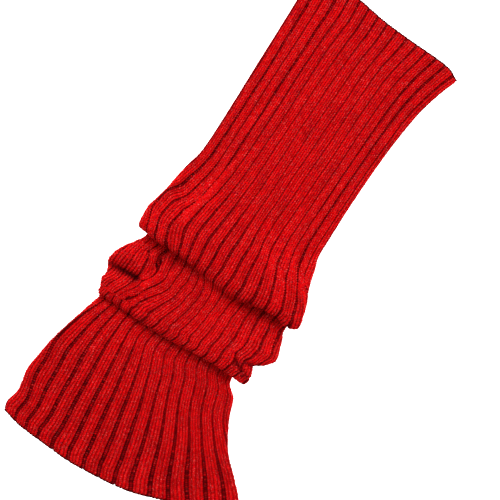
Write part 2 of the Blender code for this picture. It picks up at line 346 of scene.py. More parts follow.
@dataclass
class SlouchedTube:
    """The sheet midway between the tube's two layers, laid over its two folds."""

    wall: float = 2.0
    slit: float = 0.3
    rib_room: float = 1.0
    nose_share: float = 0.41
    middle_across: float = -1.5
    middle_along: float = -4.9
    step: float = 0.0008
    end_gap: float = 1e-9
    crease_fade: float = 0.8
    most_sunk: float = 0.75
    shade_share: float = 0.55
    calm_over: float = 0.3
    calm_reads: int = 7
    calm_reach: float = 0.28

    @property
    def half(self) -> float:
        """From the middle sheet to a plain outer face."""
        return self.slit / 2 + self.wall

    @property
    def middle(self) -> np.ndarray:
        """The middle of the tables' outline, which is brought to the origin."""
        return np.array([self.middle_across, self.middle_along, 0.0])

    def turns(self, rows: tuple, place: np.ndarray) -> tuple[np.ndarray, ...]:
        """How a fold turns at places across it.

        Args:
            rows: The fold's table.
            place: Places across.

        Returns:
            Its shift and drop, the angle that it turns through, and the radii of its nose and its back.
        """
        shift = read_line(rows, "shift", place)
        drop = read_line(rows, "drop", place)
        on = np.maximum(shift, 0)
        angle = 2 * np.arctan2(drop, on)
        both = (drop**2 + on**2) / (2 * drop)
        return shift, drop, angle, both * self.nose_share, both * (1 - self.nose_share)

    def fold_top(self, rows: tuple, place: np.ndarray) -> np.ndarray:
        """How far along the sheet is where it starts to turn down into a fold."""
        _, _, angle, nose, _ = self.turns(rows, place)
        return read_line(rows, "crease", place) + (nose + self.half) * np.sin(np.minimum(angle, math.pi / 2))

    def fold_foot(self, rows: tuple, place: np.ndarray) -> np.ndarray:
        """How far along the sheet is where a fold has brought it down."""
        return self.fold_top(rows, place) - read_line(rows, "shift", place)

    def folded(self, rows: tuple, place: np.ndarray, share: np.ndarray) -> tuple[np.ndarray, np.ndarray]:
        """Walks through a fold: a turn down, a straight tuck where it goes back, and a turn up.

        Args:
            rows: The fold's table.
            place: Places across.
            share: Shares of the fold's length.

        Returns:
            How far on the sheet is, and how high over the lower layer.
        """
        shift, drop, angle, nose, back = self.turns(rows, place)
        tuck = np.maximum(-shift, 0)
        walked = share * (angle * (nose + back) + tuck)
        down = np.minimum(walked / nose, angle)
        straight = np.clip(walked - angle * nose, 0, tuck)
        up = np.clip((walked - angle * nose - tuck) / back, 0, angle)
        left = angle - up
        turned = up > 0
        on = -nose * np.sin(down) + straight - back * (np.sin(angle) - np.sin(left)) * turned
        fall = nose * (1 - np.cos(down)) + back * (np.cos(left) - np.cos(angle)) * turned
        return on, drop - fall

    def between_edges(self, left: np.ndarray, right: np.ndarray, place: np.ndarray) -> np.ndarray:
        """Where a place is across, between the two side edges' outer faces."""
        start, end = left + self.half, right - self.half
        return start + (end - start) * (1 + place) / 2

    def calm(self, rows: tuple, name: str, share: np.ndarray) -> tuple[np.ndarray, np.ndarray]:
        """A side edge without its notches, for the ribs inside it.

        Args:
            rows: The stretch's sections.
            name: The edge's column.
            share: Shares of the stretch.

        Returns:
            The calmer edge, and how far the real edge is from it.
        """
        edge = read_rows(rows, name, share)
        shifts = np.linspace(-self.calm_over, self.calm_over, self.calm_reads)
        mean = np.mean([read_rows(rows, name, share + shift) for shift in shifts], axis=0)
        inside = ease(share / self.calm_over) * ease((1 - share) / self.calm_over)
        calm = edge + (mean - edge) * inside
        return calm, edge - calm

    def stretch(self, rows: tuple, place: np.ndarray, share: np.ndarray, top: np.ndarray,
                bottom: np.ndarray, drop: np.ndarray | float) -> np.ndarray:
        """The sheet over one stretch.

        Args:
            rows: The stretch's sections.
            place: Places across.
            share: Shares of the stretch.
            top: How far along its top line is.
            bottom: How far along its bottom line is.
            drop: How high its bottom line lies over the lower layer.

        Returns:
            The points.
        """
        left_along = read_rows(rows, "left_along", share)
        right_along = read_rows(rows, "right_along", share)
        across_share = (1 + place) / 2
        chord = left_along + (right_along - left_along) * across_share
        first, last = rows[0], rows[-1]
        top_chord = first.left_along + (first.right_along - first.left_along) * across_share
        bottom_chord = last.left_along + (last.right_along - last.left_along) * across_share
        done = np.clip((top_chord - chord) / (top_chord - bottom_chord), 0, 1)
        along = chord + (top - top_chord) * (1 - done) + (bottom - bottom_chord) * done
        (left, left_off), (right, right_off) = (self.calm(rows, name, share) for name in ("left", "right"))
        across = self.between_edges(left, right, place)
        across = across + left_off * np.exp(-(((1 + place) / self.calm_reach) ** 2))
        across = across + right_off * np.exp(-(((1 - place) / self.calm_reach) ** 2))
        height = self.half + drop * read_rows(rows, "lift", share, level_ends=True)
        return np.stack([across, along, height], axis=-1)

    def fold(self, rows: tuple, above: Section, below: Section, place: np.ndarray,
             share: np.ndarray) -> np.ndarray:
        """The sheet through a fold.

        Args:
            rows: The fold's table.
            above: The last section of the stretch above it.
            below: The first section of the stretch below it.
            place: Places across.
            share: Shares of the fold's length.

        Returns:
            The points.
        """
        on, height = self.folded(rows, place, share)
        passed = ease(share)
        left = above.left + (below.left - above.left) * passed
        right = above.right + (below.right - above.right) * passed
        across = self.between_edges(left, right, place)
        return np.stack([across, self.fold_top(rows, place) + on, self.half + height], axis=-1)

    def beside(self, crease: Crease, points: np.ndarray, narrowed: float = 1.0) -> np.ndarray:
        """How near points lie to a crease.

        Args:
            crease: The crease.
            points: The points, in the tables' own places.
            narrowed: The share of its width that it is read with.

        Returns:
            Shares, from 1 at its start to 0 away from it.
        """
        start = np.array([crease.across, crease.along])
        run = np.array([crease.end_across, crease.end_along]) - start
        from_start = points[..., :2] - start
        share = np.clip(from_start @ run / (run @ run), 0, 1)
        away = np.linalg.norm(from_start - share[..., None] * run, axis=-1) / (crease.width * narrowed)
        return np.exp(-(away**2)) * np.sqrt(1 - self.crease_fade * share**2)

    def press_creases(self, points: np.ndarray) -> np.ndarray:
        """Sinks the troughs and lifts the ridges of the middle stretch, over the cloth below.

        Args:
            points: The stretch's points, which are moved.

        Returns:
            The same points.
        """
        for crease in CREASES:
            room = np.maximum(points[..., 2] - self.half, 0)
            points[..., 2] -= np.minimum(crease.depth * self.beside(crease, points), self.most_sunk * room)
        return points

    def lightness(self, points: np.ndarray) -> np.ndarray:
        """The painted shade in the troughs, as the share of light left there.

        Args:
            points: Points of the cloth.

        Returns:
            The painted light at each, from 0 to 1.
        """
        points = points + self.middle
        # Painted shade: each crease darkens the colour near its line
        lit = np.ones(points.shape[:-1])
        for crease in CREASES:
            lit *= 1 - crease.shade * self.beside(crease, points, self.shade_share)
        return lit

    def run_points(self, run: Run, place: np.ndarray, share: np.ndarray) -> np.ndarray:
        """Points of the sheet on one run.

        Args:
            run: The run.
            place: Places across.
            share: Shares of the run.

        Returns:
            The points, in the tables' own places.
        """
        if run is Run.UPPER:
            ends = read_line(MOUTH, "along", place), self.fold_top(FOLD_1, place)
            return self.stretch(UPPER, place, share, *ends, read_line(FOLD_1, "drop", place))
        if run is Run.FOLD_1:
            return self.fold(FOLD_1, UPPER[-1], MIDDLE[0], place, share)
        if run is Run.MIDDLE:
            ends = self.fold_foot(FOLD_1, place), self.fold_top(FOLD_2, place)
            drop = read_line(FOLD_2, "drop", place)
            return self.press_creases(self.stretch(MIDDLE, place, share, *ends, drop))
        if run is Run.FOLD_2:
            return self.fold(FOLD_2, MIDDLE[-1], LOWER[0], place, share)
        ends = self.fold_foot(FOLD_2, place), read_line(HEM, "along", place)
        return self.stretch(LOWER, place, share, *ends, 0)

    def points(self, place: np.ndarray, passed: np.ndarray) -> np.ndarray:
        """Points of the sheet.

        Args:
            place: Places across.
            passed: The run's number and the share of that run, added together.

        Returns:
            The points, with the cloth's middle at the origin.
        """
        place, passed = np.broadcast_arrays(np.asarray(place, float), np.asarray(passed, float))
        found = np.empty(place.shape + (3,))
        number = np.clip(passed.astype(int), 0, len(Run) - 1)
        for run in Run:
            here = number == run.value
            if here.any():
                found[here] = self.run_points(run, place[here], passed[here] - run.value)
        return found - self.middle

    def frame_of(self, place: np.ndarray, passed: np.ndarray) -> tuple[np.ndarray, ...]:
        """Points of the sheet, and the ways that it faces there.

        Args:
            place: Places across.
            passed: The run's number and the share of that run, added together.

        Returns:
            The points, and unit directions down the sheet, across it and out of its upper face.
        """
        most = len(Run) - self.end_gap
        before, after = np.clip(passed - self.step, 0, most), np.clip(passed + self.step, 0, most)
        left, right = np.clip(place - self.step, -1, 1), np.clip(place + self.step, -1, 1)
        down = unit(self.points(place, after) - self.points(place, before))
        across = unit(self.points(right, passed) - self.points(left, passed))
        return self.points(place, np.clip(passed, 0, most)), down, across, unit(np.cross(down, across))


@dataclass
class Courses:
    """Even shares of the cloth's own length, so that rows of stitches are evenly tall."""

    tube: SlouchedTube
    offsets: tuple[float, ...]
    places: int = 49
    samples: int = 90
    ways: int = 400

    @classmethod
    def on_face(cls, tube: SlouchedTube) -> "Courses":
        """Even shares of the way along the upper layer's own face."""
        return cls(tube, (tube.half + tube.rib_room,))

    def __post_init__(self) -> None:
        """Measures the cloth's length at places across it, on the faces at the given offsets."""
        place = np.linspace(-1, 1, self.places)
        passed = np.linspace(0, len(Run), len(Run) * self.samples + 1)
        centre, _, _, out = self.tube.frame_of(place[:, None], passed[None, :])
        lengths = [
            np.linalg.norm(np.diff(centre + out * offset, axis=1), axis=2) for offset in self.offsets
        ]
        travelled = np.cumsum(np.max(lengths, axis=0), axis=1)
        travelled = np.concatenate([np.zeros((self.places, 1)), travelled], axis=1)
        even = np.linspace(0, 1, self.ways + 1)
        self.table = np.stack([np.interp(even * row[-1], row, passed) for row in travelled])

    def passed(self, place: np.ndarray, way: np.ndarray) -> np.ndarray:
        """Where shares of the way along the cloth fall.

        Args:
            place: Places across.
            way: Shares of the way.

        Returns:
            The run's number and the share of that run, added together.
        """
        place, way = np.broadcast_arrays(np.clip(place, -1, 1), np.clip(way, 0, 1))
        i = np.clip(((place + 1) / 2 * (self.places - 1)).astype(int), 0, self.places - 2)
        k = np.clip((way * self.ways).astype(int), 0, self.ways - 1)
        a = (place + 1) / 2 * (self.places - 1) - i
        b = way * self.ways - k
        low = self.table[i, k] * (1 - a) + self.table[i + 1, k] * a
        high = self.table[i, k + 1] * (1 - a) + self.table[i + 1, k + 1] * a
        return low * (1 - b) + high * b

    def ways_like(self, other: "Courses", way: np.ndarray) -> np.ndarray:
        """The ways here of rows that lie at the given ways of another measure of the length."""
        even = np.linspace(0, 1, self.ways + 1)
        return np.interp(np.interp(way, even, other.table.mean(axis=0)), self.table.mean(axis=0), even)


class Around(NamedTuple):
    """Spots round a ring: place across, turn from the upper layer on, rib height, and the painted light
    there.
    """

    place: np.ndarray
    turn: np.ndarray
    height: np.ndarray
    light: np.ndarray


class Wave(NamedTuple):
    """A slow wave in the valleys: how often it comes along the cloth, and its share of the straying."""

    count: float
    share: float


@dataclass
class Ribbing:
    """The ribs all round the tube, with the front ones on the upper layer.

    The way round is counted in places: 2 for each layer, and an edge's own share for each side.
    """

    front: int = 14
    ribs: int = 32
    edge: float = 0.12
    wander: float = 0.008
    waves: tuple[Wave, ...] = (Wave(3.1, 0.55), Wave(8.3, 0.25), Wave(21.0, 0.08))
    pace_spread: float = 0.3
    seed: int = 7
    relief_at_mouth: float = 0.8
    relief_at_hem: float = 1.1
    back_relief: float = 0.55
    sunk: float = 0.6
    yarn_rise: float = 0.68
    smooth_side: float = 0.75
    foot: float = 0.03
    shoulder: float = 0.2
    dip: float = 0.12
    dip_width: float = 0.07
    deep_before: float = 0.04
    deep_fade: float = 0.06
    back_valley: float = 0.16
    bulge_start: float = 0.42
    bulge_end: float = 0.74
    bulge_fade: float = 0.05
    shut_behind: int = 3
    least_shade: float = 0.4
    shallow: float = 0.45
    shut: float = 0.05
    open: float = 0.2
    pressed: float = 0.8
    pressed_to_shift: float = 14.0
    pressed_for: float = 0.22

    @property
    def around(self) -> float:
        """The way round the tube, in places: two layers and two side edges."""
        return 4 + 2 * self.edge

    def wandering(self, way: np.ndarray, count: int) -> np.ndarray:
        """How far the valleys stray sideways, in slow uneven waves.

        Args:
            way: Shares of the way along the cloth, in a row.
            count: How many valleys.

        Returns:
            Their strays, in places, one row for each share of the way.
        """
        rng = np.random.default_rng(self.seed)
        strays = np.zeros((len(way), count))
        for wave in self.waves:
            phase = rng.random(count) * 2 * math.pi
            pace = wave.count * (1 + self.pace_spread * rng.random(count))
            strays += wave.share * np.sin(2 * math.pi * way[:, None] * pace + phase)
        return self.wander * strays

    def valleys(self, way: np.ndarray) -> tuple[np.ndarray, np.ndarray]:
        """The valleys round the tube, from the upper layer's left edge and back to it.

        Args:
            way: Shares of the way along the cloth, in a row.

        Returns:
            Where the valleys lie round the tube, in places, and how wide they are, as shares of a rib;
            one row for each share of the way, and the first valley again at the end.
        """
        number = np.arange(self.front + 1)
        ways = column(RIB_PLACES, "way")
        placed = [smooth_read(ways, column(RIB_PLACES, name), way) for name in RibPlaces._fields[1:]]
        on_top = np.stack([smooth_read(np.array(PLACED, float), row, number) for row in np.array(placed).T])
        on_top = on_top + self.wandering(way, self.front + 1)
        rest = np.arange(1, self.ribs - self.front + 1) / (self.ribs - self.front)
        first, last = on_top[:, :1] + self.around, on_top[:, -1:]
        lies = np.concatenate([on_top, last + (first - last) * rest], axis=1)
        ways = column(VALLEY_WIDTHS, "way")
        widths = (smooth_read(ways, column(VALLEY_WIDTHS, name), way) for name in ValleyWidths._fields[1:])
        left, middle, right = (width[:, None] for width in widths)
        leftness, rightness = np.clip(-on_top, 0, 1), np.clip(on_top, 0, 1)
        width = middle + (left - middle) * leftness + (right - middle) * rightness
        for deep in DEEP_VALLEYS:
            opening = ease((way - deep.start + self.deep_before) / self.deep_fade)
            closing = ease((deep.end - way + self.deep_before) / self.deep_fade)
            width[:, deep.number] += deep.more * opening * closing
        behind = np.full((len(way), len(rest)), self.back_valley)
        bulging = ease((way - self.bulge_start) / self.bulge_fade)
        bulging = bulging * ease((self.bulge_end - way) / self.bulge_fade)
        behind[:, -1 - self.shut_behind:-1] -= (self.back_valley - self.shut) * bulging[:, None]
        behind[:, -1] = width[:, 0]
        return lies, np.concatenate([width, behind], axis=1)

    def rib_height(self, u: np.ndarray, left: np.ndarray, right: np.ndarray) -> np.ndarray:
        """A rib's height between its two valleys.

        Args:
            u: Shares of the rib's width.
            left: How wide the valley before it is.
            right: How wide the valley after it is.

        Returns:
            Heights, from 0 in a valley to 1.
        """
        rise = ease((u - left / 2 + self.foot) / self.shoulder)
        fall = ease((1 - u - right / 2 + self.foot) / self.shoulder)
        return rise * fall * (1 - self.dip * np.exp(-(((u - 0.5) / self.dip_width) ** 2)))

    def spots(self, way: np.ndarray, spots_of: "RibSpots") -> Around:
        """Spots on every rib round the tube, rib by rib.

        Args:
            way: Shares of the way along the cloth, in a row.
            spots_of: Gives the spots' shares of a rib's width from its two valleys' widths.

        Returns:
            The spots, one row for each share of the way.
        """
        lies, width = self.valleys(way)
        parts = []
        for rib in range(self.ribs):
            left, right = width[:, rib, None], width[:, rib + 1, None]
            u = spots_of(left, right)
            height = self.rib_height(u, left, right)
            # Painted shade: a valley's colour darkens towards its bottom, the more the wider it opens
            opened = np.clip((np.where(u < 0.5, left, right) - self.shut) / (self.open - self.shut), 0, 1)
            shade = self.least_shade + (1 - self.least_shade) * opened
            height = height + (1 - height) * self.shallow * (1 - opened)
            along = lies[:, rib, None] + (lies[:, rib + 1, None] - lies[:, rib, None]) * u
            parts.append((along, height, 1 - shade * (1 - height)))
        along, height, light = (np.concatenate(rows, axis=1) for rows in zip(*parts))
        along = (along + 1) % self.around - 1
        corners = np.cumsum([-1, 2, self.edge, 2, self.edge])
        place = np.interp(along, corners, [-1, 1, 1, -1, -1])
        turn = np.interp(along, corners, [0, 0, math.pi, math.pi, 2 * math.pi])
        height = height + (1 - height) * self.smooth_side * np.sin(turn) ** 2
        return Around(place, turn, height, light)

    def pressing(self, place: np.ndarray, passed: np.ndarray) -> np.ndarray:
        """How much of a rib's height is left where a fold hides it.

        Args:
            place: Places across.
            passed: The run's number and the share of that run, added together.

        Returns:
            Shares of the height.
        """
        kept = np.ones_like(passed)
        for rows, fold_at in ((FOLD_1, Run.FOLD_1.value), (FOLD_2, Run.FOLD_2.value)):
            tightness = 1 - read_line(rows, "shift", place) / self.pressed_to_shift
            hidden = self.pressed * np.clip(tightness, 0, 1)
            into = ease(passed - fold_at)
            out_of = 1 - ease((passed - fold_at - 1) / self.pressed_for)
            kept = np.minimum(kept, 1 - hidden * into * out_of)
        return kept

    def offset(self, tube: SlouchedTube, around: Around, way: np.ndarray, passed: np.ndarray) -> np.ndarray:
        """How far the wall's outer face stands off the middle sheet.

        Args:
            tube: The tube.
            around: Spots round each ring.
            way: The rings' shares of the way along, as a column.
            passed: Where the spots are along the runs.

        Returns:
            The distances, in millimetres.
        """
        relief = self.relief_at_mouth + (self.relief_at_hem - self.relief_at_mouth) * way
        front_low = tube.half - self.sunk
        front_high = tube.half + relief * self.pressing(around.place, passed) - self.yarn_rise
        back_high = tube.half - self.yarn_rise
        back_low = back_high - self.back_relief
        behind = (1 - np.cos(around.turn)) / 2
        low = front_low + (back_low - front_low) * behind
        high = front_high + (back_high - front_high) * np.clip(2 * behind, 0, 1)
        return low + (high - low) * around.height


class RibSpots:
    """Shares of a rib's width, from how wide its two valleys are."""

    def __call__(self, left: np.ndarray, right: np.ndarray) -> np.ndarray:
        """The spots' shares, one row for each row of the widths."""
        raise NotImplementedError


class WallColumns(RibSpots):
    """Columns of the wall: the valley, its foot, two up the rib's side, its shoulder and its middle."""

    side = (0.07, 0.15)
    shoulder = 0.36

    def __call__(self, left: np.ndarray, right: np.ndarray) -> np.ndarray:
        """The wall's columns, from one valley up to the next."""
        level = np.zeros_like(left)
        start, end = left / 2, 1 - right / 2
        rise = [level, start, *(start + part for part in self.side), level + self.shoulder, level + 0.5]
        fall = [level + 1 - self.shoulder, *(end - part for part in reversed(self.side)), end]
        return np.concatenate(rise + fall, axis=1)


class LegLines(RibSpots):
    """The lines that the stitches' legs lie on: two wales on each rib, and two legs in each."""

    shares = (0.13, 0.37, 0.63, 0.87)
    leans = (1.0, -1.0, 1.0, -1.0)

    def __call__(self, left: np.ndarray, right: np.ndarray) -> np.ndarray:
        """The legs' lines, over the rib between its two valleys."""
        start, end = left / 2, 1 - right / 2
        return np.concatenate([start + (end - start) * share for share in self.shares], axis=1)


class ValleyLines(RibSpots):
    """The line of purl bars, in the valley before each rib."""

    def __call__(self, left: np.ndarray, right: np.ndarray) -> np.ndarray:
        """The valley's own line."""
        return np.zeros_like(left)


@dataclass
class Cloth:
    """The tube's outer face, and the ways to stand something on it."""

    tube: SlouchedTube = field(default_factory=SlouchedTube)
    ribbing: Ribbing = field(default_factory=Ribbing)

    def spread(self, around: Around, way: np.ndarray, passed: np.ndarray,
               inner: np.ndarray | float = 0.0, beyond: np.ndarray | float = 0.0) -> tuple[np.ndarray, ...]:
        """Points round the tube.

        Args:
            around: Spots round each ring.
            way: The rings' shares of the way along, as a column.
            passed: Where the spots are along the runs.
            inner: How far from the outer face to the inner one, from 0 to 1.
            beyond: How far the points go on past the end, against the way down.

        Returns:
            The points, and the unit directions down the cloth and out of its face there.
        """
        centre, down, across, up = self.tube.frame_of(around.place, passed)
        sin, cos = np.sin(around.turn)[..., None], np.cos(around.turn)[..., None]
        out = across * sin + up * cos
        outer = self.ribbing.offset(self.tube, around, way, passed)
        offset = outer + (self.tube.slit / 2 - outer) * inner
        return centre + out * offset[..., None] - down * beyond, down, out


def course_frames(points: np.ndarray, out: np.ndarray) -> tuple[np.ndarray, ...]:
    """How courses of stitches lie on the cloth.

    Args:
        points: The stitches' places, one row for each course from the mouth down.
        out: The unit directions out of the cloth there.

    Returns:
        The unit directions up the cloth and across it, and how tall each course is.
    """
    up = -np.gradient(points, axis=0)
    height = np.linalg.norm(up, axis=-1)
    up = unit(up)
    return up, unit(np.cross(up, out)), height


def mesh_object(name: str, mesh: bpy.types.Mesh, material: bpy.types.Material) -> bpy.types.Object:
    """Links a new smooth-shaded piece that rides on the body and takes the given finish.

    Args:
        name: The piece's name.
        mesh: Its mesh, in metres.
        material: Its finish.

    Returns:
        The piece.
    """
    mesh.materials.clear()
    mesh.materials.append(material)
    mesh.shade_smooth()
    piece = bpy.data.objects.new(name, mesh)
    bpy.context.scene.collection.objects.link(piece)
    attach(piece, BODY)
    log.info("%s: %d faces", name, len(mesh.polygons))
    return piece


def add_attribute(mesh: bpy.types.Mesh, name: str, values: np.ndarray) -> None:
    """Stores one number for each point of a mesh."""
    mesh.attributes.new(name, "FLOAT", "POINT").data.foreach_set("value", values.astype(np.float32).ravel())


@dataclass
class CuffWall:
    """The knitted wall: one closed shell with ribs outside, a plain inside and rounded ends."""

    cloth: Cloth
    rings: int = 214
    inner_rings: int = 58
    rim_rings: int = 3
    bulge: float = 0.5
    merged_within: float = 1e-4
    columns: RibSpots = field(default_factory=WallColumns)

    def rows(self, even: Courses) -> list[tuple[float, float, float]]:
        """Every row of the shell, out along its outer face and back along its inner one.

        Args:
            even: The shares that the ways are given in.

        Returns:
            Each row's way along, how far in it is from 0 to 1, and how far past the end.
        """
        tube = self.cloth.tube
        longest = Courses(tube, (0.0, tube.half + tube.rib_room, -tube.half))
        ways = even.ways_like(longest, np.linspace(0, 1, self.rings + 1))
        inner_ways = even.ways_like(longest, np.linspace(1, 0, self.inner_rings + 1))
        outside = [(way, 0.0, 0.0) for way in ways]
        turns = [(i + 1) / (self.rim_rings + 1) for i in range(self.rim_rings)]
        hem = [(1.0, (1 - math.cos(math.pi * t)) / 2, -self.bulge * math.sin(math.pi * t)) for t in turns]
        inside = [(way, 1.0, 0.0) for way in inner_ways]
        mouth = [(0.0, (1 + math.cos(math.pi * t)) / 2, self.bulge * math.sin(math.pi * t)) for t in turns]
        return outside + hem + inside + mouth + [outside[0]]

    def build(self, material: bpy.types.Material) -> bpy.types.Object:
        """Maps a grid round the tube, out and back, and merges its seams.

        Args:
            material: The wall's finish.

        Returns:
            The piece.
        """
        even = Courses.on_face(self.cloth.tube)
        rows = np.array(self.rows(even))
        way, inner, beyond = (rows[:, i, None] for i in range(3))
        around = self.cloth.ribbing.spots(rows[:, 0], self.columns)
        around = Around(*(np.concatenate([part, part[:, :1]], axis=1) for part in around))
        passed = even.passed(around.place, way)
        points, _, _ = self.cloth.spread(around, way, passed, inner, beyond[..., None])
        # Painted shade: the wall's light for its colour, dark in the valleys and troughs, fading over the
        # rounded ends to fully dark on the inner face
        shown = around.light * (1 - inner) * self.cloth.tube.lightness(points)
        count_x, count_y = points.shape[1] - 1, points.shape[0] - 1
        bm = bmesh.new()
        bmesh.ops.create_grid(bm, x_segments=count_x, y_segments=count_y, size=0.5, calc_uvs=True)
        bm.verts.ensure_lookup_table()
        i = [round((vert.co.x + 0.5) * count_x) for vert in bm.verts]
        j = [round((vert.co.y + 0.5) * count_y) for vert in bm.verts]
        for vert, point in zip(bm.verts, points[j, i] * MM):
            vert.co = point
        light = bm.verts.layers.float.new("light")
        for vert, value in zip(bm.verts, shown[j, i]):
            vert[light] = value
        bmesh.ops.remove_doubles(bm, verts=bm.verts, dist=self.merged_within * MM)
        bmesh.ops.recalc_face_normals(bm, faces=bm.faces)
        mesh = bpy.data.meshes.new("cuff_wall")
        bm.to_mesh(mesh)
        bm.free()
        return mesh_object("cuff_wall", mesh, material)


class Template(NamedTuple):
    """One small closed shape: its points, and its faces as corner numbers and corner counts."""

    points: np.ndarray
    corners: np.ndarray
    counts: np.ndarray


def bead(around: int, along: int) -> Template:
    """A round bead with its poles on Y, that stitches are stretched from.

    Args:
        around: How many sides it has.
        along: How many rows of faces.

    Returns:
        The bead, of radius 1.
    """
    bm = bmesh.new()
    bmesh.ops.create_uvsphere(bm, u_segments=around, v_segments=along, radius=1)
    points = np.array([(vert.co.x, vert.co.z, -vert.co.y) for vert in bm.verts])
    corners = np.array([vert.index for face in bm.faces for vert in face.verts])
    counts = np.array([len(face.verts) for face in bm.faces])
    bm.free()
    return Template(points, corners, counts)


# How painted shade darkens a bead from its top down its flanks
FLANK_LIGHT = 0.12
FLANK_BOTTOM = -0.05
FLANK_REACH = 0.9


class Beads(NamedTuple):
    """Where many like beads stand: middle, unit directions, half sizes, and how each is coloured: its tone
    and its painted light.
    """

    centre: np.ndarray
    across: np.ndarray
    along: np.ndarray
    out: np.ndarray
    size: np.ndarray
    tone: np.ndarray
    light: np.ndarray


def join_beads(name: str, template: Template, beads: Beads) -> bpy.types.Mesh:
    """Joins many copies of one small shape into a mesh.

    Args:
        name: The mesh's name.
        template: The shape.
        beads: Where each copy stands, in millimetres.

    Returns:
        The mesh, in metres.
    """
    count, each = len(beads.centre), len(template.points)
    local = template.points[None] * beads.size[:, None, :]
    axes = np.stack([beads.across, beads.along, beads.out], axis=1)
    reach = np.linalg.norm(axes[:, :, 2] * beads.size, axis=1)
    centre = beads.centre.copy()
    centre[:, 2] = np.maximum(centre[:, 2], reach)
    points = (centre[:, None, :] + np.einsum("mvk,mkc->mvc", local, axes)) * MM
    mesh = bpy.data.meshes.new(name)
    mesh.vertices.add(count * each)
    mesh.vertices.foreach_set("co", points.astype(np.float32).ravel())
    corners = (template.corners[None] + each * np.arange(count)[:, None]).ravel()
    starts = np.concatenate([[0], np.cumsum(np.tile(template.counts, count))[:-1]])
    mesh.loops.add(len(corners))
    mesh.loops.foreach_set("vertex_index", corners.astype(np.int32))
    mesh.polygons.add(len(starts))
    mesh.polygons.foreach_set("loop_start", starts.astype(np.int32))
    mesh.update(calc_edges=True)
    add_attribute(mesh, "tone", np.repeat(beads.tone, each))
    # Painted shade: the colour darkens from each bead's top down its flanks
    height = (template.points[:, 2] - FLANK_BOTTOM) / FLANK_REACH
    painted_flank_light = FLANK_LIGHT + (1 - FLANK_LIGHT) * ease(height)
    add_attribute(mesh, "light", beads.light[:, None] * painted_flank_light[None, :])
    return mesh


